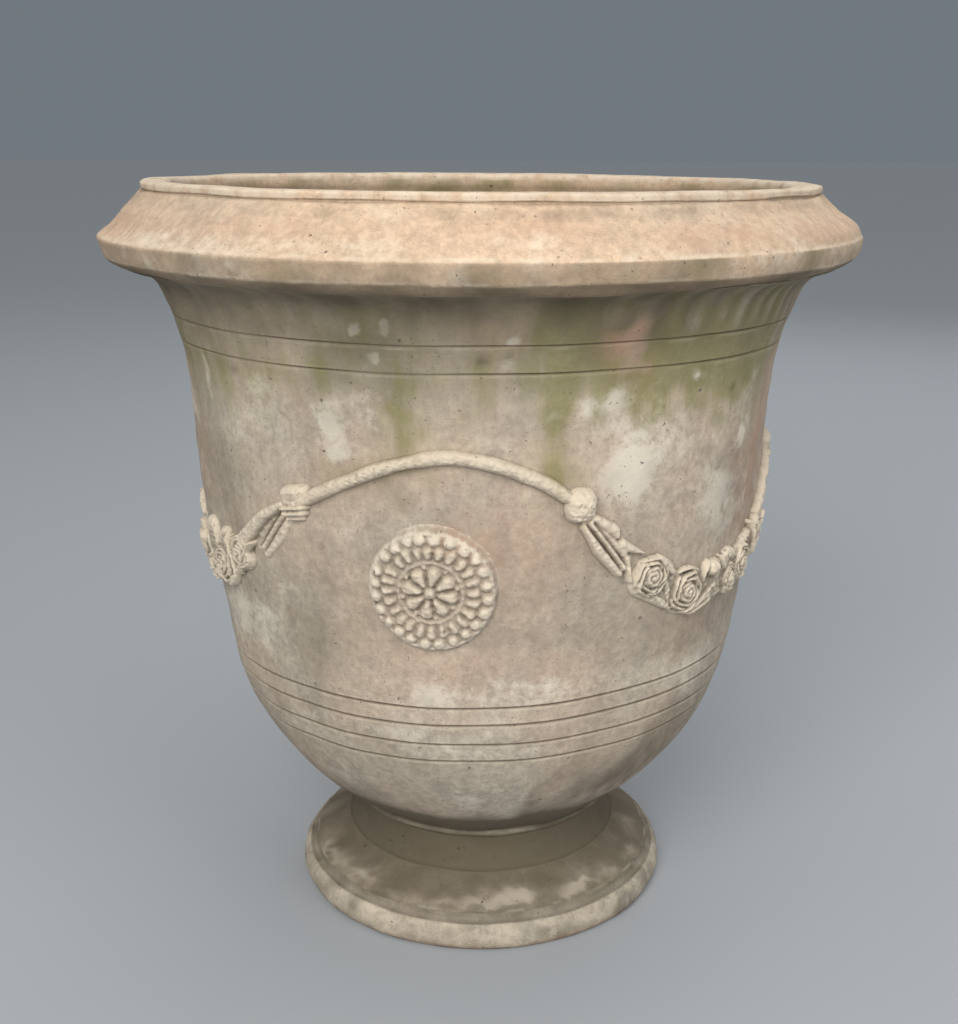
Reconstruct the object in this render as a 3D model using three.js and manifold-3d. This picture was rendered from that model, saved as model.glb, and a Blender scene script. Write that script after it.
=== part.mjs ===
// A terracotta garden vase on a pedestal foot, built up as a potter builds it: a hollow foot, a luting coil,
// a bell-shaped body with a spigot and a drain hole, a heavy angular collar, and pressed relief stuck on the
// wall in three equal repeats. Millimetres, +Z up, origin on the floor under the middle of the foot.
// The middle of medallion_1 faces -Y. Nothing on the object moves.

import * as THREE from "three";
import { mergeVertices } from "three/addons/utils/BufferGeometryUtils.js";
import Module from "manifold-3d";

const wasm = await Module();
wasm.setup();

// ---- Driving dimensions ----

const HEIGHT = 585; // floor to the top of the lip
const TURNED_FACETS = 36; // round each turned piece, a multiple of the three repeats
const GAP = 0.3; // line of slip between two luted pieces
const REPEATS = 3; // medallions round the wall

const BASE_RADIUS = 152.2; // the foot where it meets the floor
const FOOT_EDGE_RADIUS = 155.8; // widest point of the foot's torus
const FOOT_INNER_RADIUS = 126; // the hollow under the foot, at the floor
const FOOT_STEP_RADIUS = 115; // where the foot's sloping top meets its neck
const NECK_RADIUS = 108; // the foot's neck
const FOOT_TOP = 74; // the foot's upper face
const SPIGOT_RADIUS = 80; // ring under the body that seats in the foot
const SPIGOT_INNER_RADIUS = 60;
const SPIGOT_BOTTOM = 68;
const BEAD_RADIUS = 111; // outside of the luting coil

const BODY_BOTTOM = 81; // underside of the body, on the coil
const BODY_TOP = 527; // where the collar is thrown on
const SEAT_RADIUS = 109; // flat underside of the body
const FLOOR_TOP = 107; // floor inside the body, at its rim
const FLOOR_MIDDLE = 104; // floor inside the body, at the drain hole
const DRAIN_RADIUS = 18;
const MOUTH_RADIUS = 236; // inside of the wall under the collar

const TENON_INNER_RADIUS = 244; // ring on top of the wall, keyed into the collar
const TENON_OUTER_RADIUS = 256;
const TENON_HEIGHT = 8;

const ARRIS_RADIUS = 293.4; // the collar's sharp edge, the widest point of the object
const ARRIS_HEIGHT = 547.6;
const BAND_RADIUS = 288.9; // lower edge of the collar's band
const BAND_HEIGHT = 533.8;
const SLOPE_TOP_RADIUS = 261; // the collar's slope, just under the lip
const SLOPE_TOP = 578;
const LIP_RADIUS = 260;
const LIP_INNER_RADIUS = 238.5;
const LIP_BOTTOM = 579.2;

const GROOVE_HEIGHTS = [185.3, 200.7, 216.8, 232.1, 473.4, 492.4]; // four on the belly, two on the neck
const GROOVE_DEPTH = 2.4;
const GROOVE_HALF_WIDTH = 2.2;

const RELIEF_RADIUS = 226; // radius at which distances round the wall are measured
const RELIEF_ROOT = -5; // how deep a pressing is drawn before the wall is cut from it

const MEDALLION_HEIGHT = 322;
const MEDALLION_RADIUS = 44;
const PETALS = 8;

// The arched cord is laid by hand from knot to knot, a little higher on the right: distance round, height.
const CORD_LINE = [
  [-98, 375.5],
  [-66, 391.5],
  [-28, 408],
  [6, 416.5],
  [36, 414],
  [68, 402],
  [97, 384.5],
];
const CORD_RADIUS = 5;

const BOSS_OFFSET = 102; // knots, to each side of the medallion's middle
const BOSS_HEIGHT = 380;
const BOSS_SIZE = new THREE.Vector3(10, 9.5, 11); // half width, half height, height above the wall

const SWAG_OFFSET = (Math.PI * RELIEF_RADIUS) / REPEATS; // middle of the garland, half a repeat away

// ---- Clay colours ----

function clay(color, roughness) {
  return new THREE.MeshStandardMaterial({ color, roughness, metalness: 0 });
}

const footClay = clay(0x8d8273, 0.95);
const beadClay = clay(0x5d564c, 0.97);
const bodyClay = clay(0xa79a88, 0.92);
const collarClay = clay(0xbba58f, 0.9);
const medallionClay = clay(0xc0b3a0, 0.88);
const cordClay = clay(0xb3a592, 0.9);
const bossClay = clay(0xb8ab98, 0.9);
const leafClay = clay(0xb0a28f, 0.9);
const flowerClay = clay(0xbcae9b, 0.88);

// ---- Solids: joining and cutting ----

// The closed solid of a geometry.
function solidOf(geometry) {
  const bare = new THREE.BufferGeometry();
  bare.setAttribute("position", geometry.getAttribute("position").clone());
  bare.setIndex(geometry.index);
  const merged = mergeVertices(bare, 1e-3);
  return new wasm.Manifold(
    new wasm.Mesh({
      numProp: 3,
      vertProperties: new Float32Array(merged.getAttribute("position").array),
      triVerts: new Uint32Array(merged.index.array),
    }),
  );
}

// The geometry of a solid.
function geometryOf(solid) {
  const mesh = solid.getMesh();
  const geometry = new THREE.BufferGeometry();
  geometry.setAttribute("position", new THREE.BufferAttribute(mesh.vertProperties, 3));
  geometry.setIndex(new THREE.BufferAttribute(mesh.triVerts, 1));
  geometry.computeVertexNormals();
  return geometry;
}

// Several geometries pressed into one.
function join(geometries) {
  return geometryOf(geometries.map(solidOf).reduce((whole, piece) => whole.add(piece)));
}

// ---- Turned pieces ----

// A turned solid: the outline holds radius as x and height as y, runs up its outer side, and is closed here.
function turn(outline) {
  const closed = [...outline, outline[0]];
  const geometry = new THREE.LatheGeometry(closed, TURNED_FACETS);
  geometry.rotateX(Math.PI / 2);
  return geometry;
}

// The outside of the body and the cove under the collar's band, from the body's underside up.
function wallCurve() {
  const curve = new THREE.Path();
  curve.moveTo(114, 84);
  curve.bezierCurveTo(154.7, 111.8, 196.3, 156.3, 207.7, 225);
  curve.bezierCurveTo(214.7, 267.1, 224.1, 328.3, 226.4, 365);
  curve.bezierCurveTo(232, 451.6, 230.3, 458.8, 250, 507);
  curve.bezierCurveTo(258.9, 528.7, 277, 521.6, BAND_RADIUS, BAND_HEIGHT);
  return curve;
}

const FINE_STEPS = 60;
const finePoints = wallCurve().getPoints(FINE_STEPS);

// The wall's outer radius at a height.
function wallRadius(height) {
  const above = finePoints.findIndex((point) => point.y > height);
  const upper = finePoints[above];
  const lower = finePoints[above - 1];
  return THREE.MathUtils.mapLinear(height, lower.y, upper.y, lower.x, upper.x);
}

function wallPoint(height, inwards = 0) {
  return new THREE.Vector2(wallRadius(height) - inwards, height);
}

// The body's outer side with its turned grooves, from the underside to the collar's seat.
function groovedWall() {
  const wallSteps = 4;
  const isPlain = ({ y }) => GROOVE_HEIGHTS.every((height) => Math.abs(y - height) > 2 * GROOVE_HALF_WIDTH);
  const plain = wallCurve()
    .getPoints(wallSteps)
    .filter((point) => point.y < BODY_TOP - 1 && isPlain(point));
  const grooves = GROOVE_HEIGHTS.flatMap((height) => [
    wallPoint(height - GROOVE_HALF_WIDTH),
    wallPoint(height, GROOVE_DEPTH),
    wallPoint(height + GROOVE_HALF_WIDTH),
  ]);
  return [...plain, ...grooves, wallPoint(BODY_TOP)].sort((a, b) => a.y - b.y);
}

// The inside of the body, from the mouth down to the drain hole.
function innerWall() {
  const curve = new THREE.Path();
  const innerSteps = 3;
  curve.moveTo(MOUTH_RADIUS, BODY_TOP);
  curve.bezierCurveTo(214, 500, 211, 450, 205, 372);
  curve.bezierCurveTo(200, 300, 192, 260, 184, 222);
  curve.bezierCurveTo(172, 160, 128, 112, SPIGOT_INNER_RADIUS, FLOOR_TOP);
  curve.lineTo(DRAIN_RADIUS, FLOOR_MIDDLE);
  return curve.getPoints(innerSteps);
}

function makeBody() {
  const seat = new THREE.Path();
  seat.moveTo(DRAIN_RADIUS, BODY_BOTTOM);
  seat.lineTo(SPIGOT_INNER_RADIUS, BODY_BOTTOM);
  seat.lineTo(SPIGOT_INNER_RADIUS, SPIGOT_BOTTOM);
  seat.lineTo(SPIGOT_RADIUS, SPIGOT_BOTTOM);
  seat.lineTo(SPIGOT_RADIUS, BODY_BOTTOM);
  seat.lineTo(SEAT_RADIUS, BODY_BOTTOM);
  const tenonTop = BODY_TOP + TENON_HEIGHT;
  const tenon = new THREE.Path();
  tenon.moveTo(TENON_OUTER_RADIUS, BODY_TOP);
  tenon.lineTo(TENON_OUTER_RADIUS, tenonTop);
  tenon.lineTo(TENON_INNER_RADIUS, tenonTop);
  tenon.lineTo(TENON_INNER_RADIUS, BODY_TOP);
  return turn([...seat.getPoints(), ...groovedWall(), ...tenon.getPoints(), ...innerWall()]);
}

function makeFoot() {
  const outline = new THREE.Path();
  const curveSteps = 3;
  const socketRadius = SPIGOT_RADIUS + GAP;
  const socketBottom = SPIGOT_BOTTOM - 8;
  outline.moveTo(FOOT_INNER_RADIUS, 0);
  outline.lineTo(BASE_RADIUS, 0);
  // Torus edge, recessed groove, sloping top.
  outline.quadraticCurveTo(FOOT_EDGE_RADIUS + 2.5, 6, FOOT_EDGE_RADIUS, 13);
  outline.quadraticCurveTo(FOOT_EDGE_RADIUS - 1, 19, 151, 21.5);
  outline.lineTo(147.2, 22);
  outline.lineTo(145.6, 25);
  outline.lineTo(145.6, 28.5);
  outline.quadraticCurveTo(128, 39, FOOT_STEP_RADIUS, 47);
  // Cove up the neck.
  outline.quadraticCurveTo(NECK_RADIUS, 50, NECK_RADIUS, FOOT_TOP);
  outline.lineTo(socketRadius, FOOT_TOP);
  outline.lineTo(socketRadius, socketBottom);
  outline.quadraticCurveTo(90, 32, FOOT_INNER_RADIUS, 0);
  return turn(outline.getPoints(curveSteps).slice(0, -1));
}

function makeNeckBead() {
  const bottom = FOOT_TOP + GAP;
  const top = BODY_BOTTOM - GAP;
  const roll = (top - bottom) / 2;
  const inner = SPIGOT_RADIUS + GAP;
  const outline = new THREE.Path();
  const rollSteps = 2;
  outline.moveTo(inner, bottom);
  outline.absarc(BEAD_RADIUS - roll, bottom + roll, roll, -Math.PI / 2, Math.PI / 2, false);
  outline.lineTo(inner, top);
  return turn(outline.getPoints(rollSteps));
}

function makeCollar() {
  const bottom = BODY_TOP + GAP;
  const keyTop = BODY_TOP + TENON_HEIGHT + GAP;
  const lipRound = 2.5;
  const outline = new THREE.Path();
  const curveSteps = 3;
  outline.moveTo(TENON_OUTER_RADIUS + GAP, bottom);
  outline.lineTo(wallRadius(bottom), bottom);
  outline.lineTo(BAND_RADIUS, BAND_HEIGHT);
  // Band, rounded arris, hollow slope.
  outline.lineTo(ARRIS_RADIUS - 1, ARRIS_HEIGHT - 3);
  outline.quadraticCurveTo(ARRIS_RADIUS + 1, ARRIS_HEIGHT, ARRIS_RADIUS - 2.4, ARRIS_HEIGHT + 2);
  outline.quadraticCurveTo(277, 561.5, SLOPE_TOP_RADIUS, SLOPE_TOP);
  // Undercut and rolled lip.
  outline.lineTo(LIP_RADIUS - 1.5, LIP_BOTTOM - 0.6);
  outline.lineTo(LIP_RADIUS, LIP_BOTTOM + 0.6);
  outline.lineTo(LIP_RADIUS, HEIGHT - lipRound);
  outline.quadraticCurveTo(LIP_RADIUS, HEIGHT, LIP_RADIUS - lipRound, HEIGHT);
  outline.lineTo(LIP_INNER_RADIUS + lipRound, HEIGHT);
  outline.quadraticCurveTo(LIP_INNER_RADIUS, HEIGHT, LIP_INNER_RADIUS, HEIGHT - lipRound);
  // Inside, swelling behind the arris.
  outline.lineTo(LIP_INNER_RADIUS, LIP_BOTTOM - 4);
  outline.quadraticCurveTo(258, ARRIS_HEIGHT, MOUTH_RADIUS, bottom);
  // Groove for the wall's tenon.
  outline.lineTo(TENON_INNER_RADIUS - GAP, bottom);
  outline.lineTo(TENON_INNER_RADIUS - GAP, keyTop);
  outline.lineTo(TENON_OUTER_RADIUS + GAP, keyTop);
  return turn(outline.getPoints(curveSteps));
}

// ---- Relief, drawn flat and then bent round the wall ----
// Flat drawings hold the distance round the wall as x, the height as y and the height above the wall as z.

// Space that the wall takes, with a line of slip round it.
function wallSpace() {
  const bottom = 250;
  const top = 440;
  const steps = 4;
  const heights = Array.from({ length: steps + 1 }, (_, i) => THREE.MathUtils.lerp(bottom, top, i / steps));
  const side = heights.map((height) => wallPoint(height, -GAP));
  const outline = [new THREE.Vector2(0, bottom), ...side, new THREE.Vector2(0, top)];
  const geometry = new THREE.LatheGeometry(outline, TURNED_FACETS);
  geometry.rotateX(Math.PI / 2);
  return geometry;
}

const wallSolid = solidOf(wallSpace());

// Bends a flat drawing round the wall.
function bend(drawing) {
  const geometry = drawing.clone();
  const position = geometry.getAttribute("position");
  for (let i = 0; i < position.count; i += 1) {
    const height = position.getY(i);
    const angle = position.getX(i) / RELIEF_RADIUS;
    const radius = wallRadius(height) + position.getZ(i);
    position.setXYZ(i, radius * Math.sin(angle), -radius * Math.cos(angle), height);
  }
  return geometry;
}

// A pressing seated on the wall, clear of the other pressings given.
function lute(drawing, neighbours = []) {
  const kept = neighbours.reduce((whole, other) => whole.subtract(solidOf(other)), solidOf(drawing));
  return geometryOf(solidOf(bend(geometryOf(kept))).subtract(wallSolid));
}

// A rounded lump of clay from one flat point to another.
function lobe([fromX, fromY], [toX, toY], width, proud) {
  const sides = 8;
  const rings = 4;
  const geometry = new THREE.SphereGeometry(1, sides, rings);
  geometry.scale(Math.hypot(toX - fromX, toY - fromY) / 2, width / 2, proud);
  geometry.rotateZ(Math.atan2(toY - fromY, toX - fromX));
  geometry.translate((fromX + toX) / 2, (fromY + toY) / 2, 0);
  return geometry;
}

// A round domed lump, such as a rose.
function dome(x, y, radius, proud) {
  return lobe([x - radius, y], [x + radius, y], 2 * radius, proud);
}

function drawMedallion() {
  const sides = 20;
  const edge = 2;
  const outline = new THREE.Path();
  outline.moveTo(0, RELIEF_ROOT);
  outline.lineTo(MEDALLION_RADIUS, RELIEF_ROOT);
  outline.lineTo(MEDALLION_RADIUS, edge);
  // Two bead rings, a raised ring and the sunk field of the rosette.
  outline.lineTo(MEDALLION_RADIUS - 4, 6);
  outline.lineTo(25, 6);
  outline.lineTo(22.5, 8);
  outline.lineTo(20, 5);
  outline.lineTo(0, 5);
  const disc = new THREE.LatheGeometry(outline.getPoints(), sides);
  disc.rotateX(Math.PI / 2);
  disc.translate(0, MEDALLION_HEIGHT, 0);
  const petals = Array.from({ length: PETALS }, (_, i) => {
    const angle = (2 * Math.PI * i) / PETALS;
    const along = (reach) => [reach * Math.cos(angle), MEDALLION_HEIGHT + reach * Math.sin(angle)];
    return lobe(along(4), along(18), 10, 9);
  });
  return join([disc, ...petals, dome(0, MEDALLION_HEIGHT, 5, 10)]);
}

function drawBoss(side, extra = 0) {
  const geometry = new THREE.SphereGeometry(1, 10, 6);
  geometry.scale(BOSS_SIZE.x + extra, BOSS_SIZE.y + extra, BOSS_SIZE.z + extra);
  geometry.translate(side * BOSS_OFFSET, BOSS_HEIGHT, 0);
  return geometry;
}

function drawArchCord() {
  const steps = 14;
  const sides = 8;
  const sunk = CORD_RADIUS * 0.3;
  const line = CORD_LINE.map(([x, y]) => new THREE.Vector3(x, y, sunk));
  const section = new THREE.Shape().absarc(0, 0, CORD_RADIUS, 0, 2 * Math.PI, false);
  return new THREE.ExtrudeGeometry(section, {
    steps,
    curveSegments: sides / 2,
    extrudePath: new THREE.CatmullRomCurve3(line),
  });
}

// The straps and leaves that fall from a knot, away from the medallion.
function drawLeafSpray(side) {
  const at = (x, y) => [side * x, y];
  return join([
    lobe(at(106, 380), at(134, 351), 13, 8),
    lobe(at(126, 360), at(156, 339), 14, 6),
    lobe(at(106, 376), at(145, 327), 14, 7),
    lobe(at(100, 374), at(139, 325), 14, 9),
  ]);
}

// A garland between two medallions: leaves under four roses and a bud, mirrored about its middle.
function drawSwag() {
  const halves = [-1, 1].flatMap((side) => {
    const at = (x, y) => [SWAG_OFFSET + side * x, y];
    const [outerRose, innerRose] = [at(75, 319), at(34.5, 301)];
    return [
      dome(...outerRose, 12.5, 11),
      dome(...innerRose, 13.5, 12),
      lobe(at(84, 330), at(44, 302), 17, 6),
      lobe(at(66, 315), at(20, 303), 30, 6),
      lobe(at(30, 291), at(-4, 284), 15, 7),
    ];
  });
  const bud = lobe([SWAG_OFFSET, 326], [SWAG_OFFSET, 296], 22, 10);
  const backing = lobe([SWAG_OFFSET - 34, 303], [SWAG_OFFSET + 34, 303], 26, 5);
  return join([...halves, bud, backing]);
}

// ---- Assembly ----

function mesh(name, geometry, material) {
  const piece = new THREE.Mesh(geometry, material);
  piece.name = name;
  return piece;
}

const vase = new THREE.Group();
vase.add(
  mesh("foot", makeFoot(), footClay),
  mesh("neck_bead", makeNeckBead(), beadClay),
  mesh("body", makeBody(), bodyClay),
  mesh("collar", makeCollar(), collarClay),
);

const SIDES = { left: -1, right: 1 };
const bossSpaces = Object.values(SIDES).map((side) => drawBoss(side, GAP));
const medallion = lute(drawMedallion());
const archCord = lute(drawArchCord(), bossSpaces);
const swag = lute(drawSwag());

for (let repeat = 0; repeat < REPEATS; repeat += 1) {
  const number = repeat + 1;
  const group = new THREE.Group();
  group.rotation.z = (2 * Math.PI * repeat) / REPEATS;
  group.add(
    mesh("medallion_" + number, medallion, medallionClay),
    mesh("arch_cord_" + number, archCord, cordClay),
    mesh("flower_swag_" + number, swag, flowerClay),
  );
  for (const [name, side] of Object.entries(SIDES)) {
    group.add(
      mesh("boss_" + number + "_" + name, lute(drawBoss(side)), bossClay),
      mesh("leaf_spray_" + number + "_" + name, lute(drawLeafSpray(side), bossSpaces), leafClay),
    );
  }
  vase.add(group);
}

export default vase;
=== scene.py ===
"""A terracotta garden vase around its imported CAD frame: weathered clay, grooves and pressed relief.

Drawings are in millimetres and become metres as meshes are made. An azimuth runs from -Y towards +X.
"""

import math

import bpy
import numpy as np
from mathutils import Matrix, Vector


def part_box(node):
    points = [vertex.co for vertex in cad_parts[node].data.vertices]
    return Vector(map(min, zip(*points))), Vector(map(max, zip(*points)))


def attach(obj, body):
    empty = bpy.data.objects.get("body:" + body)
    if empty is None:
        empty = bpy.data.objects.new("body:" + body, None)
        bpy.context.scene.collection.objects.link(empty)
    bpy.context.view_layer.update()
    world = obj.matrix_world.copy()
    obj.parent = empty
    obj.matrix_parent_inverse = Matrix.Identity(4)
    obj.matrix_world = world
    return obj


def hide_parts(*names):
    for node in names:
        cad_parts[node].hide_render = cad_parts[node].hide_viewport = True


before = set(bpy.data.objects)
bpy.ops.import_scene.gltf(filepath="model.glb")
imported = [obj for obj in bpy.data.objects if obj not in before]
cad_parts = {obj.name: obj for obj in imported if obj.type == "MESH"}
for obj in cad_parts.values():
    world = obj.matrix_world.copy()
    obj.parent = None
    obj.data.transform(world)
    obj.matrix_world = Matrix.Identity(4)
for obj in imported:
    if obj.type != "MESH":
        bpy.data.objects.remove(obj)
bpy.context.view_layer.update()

MM = 0.001
BODY = "root"


# ---- camera

VIEW_AZIMUTH = math.radians(8.65)  # the camera stands a little to the right of medallion_1
CAMERA_DISTANCE = 1.076
CAMERA_HEIGHT = 0.621
CAMERA_PITCH = math.radians(15.07)
LENS = 47.06
SHIFT = (-0.0021, -0.0187)


def make_camera():
    data = bpy.data.cameras.new("camera")
    data.lens = LENS
    data.sensor_width = 36
    data.shift_x, data.shift_y = SHIFT
    camera = bpy.data.objects.new("camera", data)
    across = CAMERA_DISTANCE * math.sin(VIEW_AZIMUTH)
    back = -CAMERA_DISTANCE * math.cos(VIEW_AZIMUTH)
    camera.location = (across, back, CAMERA_HEIGHT)
    camera.rotation_euler = (math.pi / 2 - CAMERA_PITCH, 0, VIEW_AZIMUTH)
    bpy.context.scene.collection.objects.link(camera)
    bpy.context.scene.camera = camera


make_camera()


# ---- noise and small maths


def waves(points, size, seed, count=20):
    """Smooth noise of about unit strength: crossing waves about size long, in the units of points."""
    rng = np.random.default_rng(seed)
    directions = rng.normal(size=(count, 3))
    directions /= np.linalg.norm(directions, axis=1)[:, None]
    lengths = size * rng.uniform(0.7, 1.5, count)
    phases = rng.uniform(0, 2 * np.pi, count)
    value = np.zeros(points.shape[:-1])
    for direction, length, phase in zip(directions, lengths, phases):
        value += np.sin(points @ direction * (2 * np.pi / length) + phase)
    return value / math.sqrt(count / 2)


def unit(value):
    return np.clip(value, 0, 1)


def bump(value, centre, width):
    """1 at the centre, falling smoothly away each side: about a third at the width."""
    return np.exp(-(((value - centre) / width) ** 2))


def ease(value, low, high):
    t = unit((value - low) / (high - low))
    return t * t * (3 - 2 * t)


def turn_between(a, b):
    """The angle from b to a, the short way round."""
    return (a - b + np.pi) % (2 * np.pi) - np.pi


def bezier(points, steps):
    """Points along a straight line or a curve, its start left out."""
    t = np.linspace(0, 1, steps + 1)[1:, None]
    degree = len(points) - 1
    total = 0
    for i, point in enumerate(points):
        weight = math.comb(degree, i) * t**i * (1 - t) ** (degree - i)
        total = total + weight * np.array(point, float)
    return total


def outline(start, *stretches, spacing=2.0):
    """A section of (radius, height) points: each stretch carries on from the last point."""
    points = [np.array([start], float)]
    for stretch in stretches:
        last = tuple(points[-1][-1])
        controls = [last, *stretch]
        length = sum(math.dist(p, q) for p, q in zip(controls, controls[1:]))
        points.append(bezier(controls, max(1, round(length / spacing))))
    return np.concatenate(points)


# ---- meshes


def placed(name, data):
    thing = bpy.data.objects.new(name, data)
    bpy.context.scene.collection.objects.link(thing)
    return thing


def make_mesh(name, points, quads, values, material, replaces):
    """A smooth piece in place of CAD nodes, with the strength of each stain, and of painted shade and
    painted highlight, at each vertex.
    """
    mesh = bpy.data.meshes.new(name)
    mesh.from_pydata((points * MM).tolist(), [], quads.tolist())
    mesh.polygons.foreach_set("use_smooth", np.ones(len(quads), bool))
    for key in STAINS:
        attribute = mesh.attributes.new(key, "FLOAT", "POINT")
        stain = np.broadcast_to(values.get(key, 0.0), len(points))
        attribute.data.foreach_set("value", np.ascontiguousarray(stain, np.float32))
    mesh.materials.append(material)
    mesh.update()
    piece = placed(name, mesh)
    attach(piece, BODY)
    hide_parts(*replaces)
    return piece


# Amounts kept at each vertex: stains, with painted shade in the grime and hollow amounts and painted
# highlight in the crest amount.
STAINS = ("crest", "hollow", "grime", "algae", "lime", "blush")


def section_normals(section):
    along = np.roll(section, -1, axis=0) - np.roll(section, 1, axis=0)
    along /= np.linalg.norm(along, axis=1)[:, None]
    return np.stack([along[:, 1], -along[:, 0]], axis=1)


def round_points(azimuth, radius, height):
    return np.stack([radius * np.sin(azimuth), -radius * np.cos(azimuth), height], axis=-1)


COLUMNS = {"body": 336, "collar": 600, "neck_bead": 288, "foot": 456}  # faces round each turned piece


def turned_piece(name, section, shape, stain, material):
    """A ring-shaped turned piece.

    shape gives how far each point moves out along its normal, outwards and upwards; stain gives its values.
    """
    columns = COLUMNS[name]
    azimuth = np.linspace(0, 2 * np.pi, columns, endpoint=False)
    azimuth, radius = np.meshgrid(azimuth, section[:, 0])
    height = np.repeat(section[:, 1:2], columns, axis=1)
    normals = section_normals(section)
    out, widen, lift = shape(azimuth, radius, height)
    radius_moved = radius + out * normals[:, 0:1] + widen
    height_moved = height + out * normals[:, 1:2] + lift
    points = round_points(azimuth, radius_moved, height_moved)
    rows = len(section)
    index = np.arange(rows * columns).reshape(rows, columns)
    right = np.roll(index, -1, axis=1)
    above = np.roll(index, -1, axis=0)
    quads = np.stack([index, right, np.roll(right, -1, axis=0), above], axis=-1).reshape(-1, 4)
    values = {key: value.ravel() for key, value in stain(azimuth, radius, height, points).items()}
    return make_mesh(name, points.reshape(-1, 3), quads, values, material, [name])


# ---- materials


class Clay:
    """Builds one node material of weathered terracotta."""

    def __init__(self, name):
        self.material = bpy.data.materials.new(name)
        self.material.use_nodes = True
        self.tree = self.material.node_tree
        self.tree.nodes.clear()
        self.place = self.node("ShaderNodeTexCoord", {}).outputs["Object"]

    def node(self, kind, inputs, **settings):
        """A new node, with its settings made and its inputs linked or given values."""
        node = self.tree.nodes.new(kind)
        for key, value in settings.items():
            setattr(node, key, value)
        for key, source in inputs.items():
            self.link(source, node.inputs[key])
        return node

    def link(self, source, socket):
        if isinstance(source, (int, float)):
            socket.default_value = source
        elif isinstance(source, tuple):
            socket.default_value = (*source, 1.0)[: len(socket.default_value)]
        else:
            self.tree.links.new(source, socket)

    def stretched(self, *scale):
        """The place on the object, with each direction scaled."""
        return self.node("ShaderNodeMapping", {"Vector": self.place, "Scale": scale}).outputs[0]

    def noise(self, scale, detail=4, roughness=0.55, place=None, distortion=0.0, output="Fac"):
        inputs = {"Vector": place or self.place, "Scale": scale, "Detail": detail}
        inputs.update({"Roughness": roughness, "Distortion": distortion})
        return self.node("ShaderNodeTexNoise", inputs).outputs[output]

    def cells(self, scale, place):
        """Distance to the nearest cell's middle, and that cell's random value."""
        node = self.node("ShaderNodeTexVoronoi", {"Vector": place, "Scale": scale})
        split = self.node("ShaderNodeSeparateColor", {0: node.outputs["Color"]})
        return node.outputs["Distance"], split.outputs[0]

    def value(self, name):
        return self.node("ShaderNodeAttribute", {}, attribute_name=name).outputs["Fac"]

    def math(self, operation, a, b=0.0, clamp=False):
        return self.node("ShaderNodeMath", {0: a, 1: b}, operation=operation, use_clamp=clamp).outputs[0]

    def times(self, a, b):
        return self.math("MULTIPLY", a, b)

    def plus(self, a, b):
        return self.math("ADD", a, b)

    def between(self, value, low, high, start=0.0, end=1.0):
        """value, eased from start at low to end at high."""
        inputs = {"Value": value, "From Min": low, "From Max": high, "To Min": start, "To Max": end}
        return self.node("ShaderNodeMapRange", inputs, interpolation_type="SMOOTHSTEP").outputs["Result"]

    def mix(self, factor, a, b, blend="MIX"):
        inputs = {"Factor": factor, "A": a, "B": b}
        return self.node("ShaderNodeMix", inputs, data_type="RGBA", blend_type=blend).outputs["Result"]

    def grey(self, value):
        return self.node("ShaderNodeCombineColor", {0: value, 1: value, 2: value}).outputs[0]

    def bumped(self, height, distance, strength, below=None):
        inputs = {"Distance": distance, "Strength": strength, "Height": height}
        if below is not None:
            inputs["Normal"] = below
        return self.node("ShaderNodeBump", inputs).outputs["Normal"]

    def finish(self, colour, roughness, normal):
        inputs = {"Base Color": colour, "Roughness": roughness, "Normal": normal}
        inputs["Specular IOR Level"] = 0.25
        shader = self.node("ShaderNodeBsdfPrincipled", inputs)
        self.node("ShaderNodeOutputMaterial", {"Surface": shader.outputs[0]})
        return self.material


RUB_AND_HIGHLIGHT_CREAM = (0.62, 0.53, 0.41)
GRIME_AND_SHADE = (0.096, 0.077, 0.048)
MOSS = (0.200, 0.190, 0.055)
WHITE = (0.68, 0.62, 0.51)
ROSE = (0.44, 0.25, 0.165)
PIT = (0.09, 0.07, 0.05)


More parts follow.
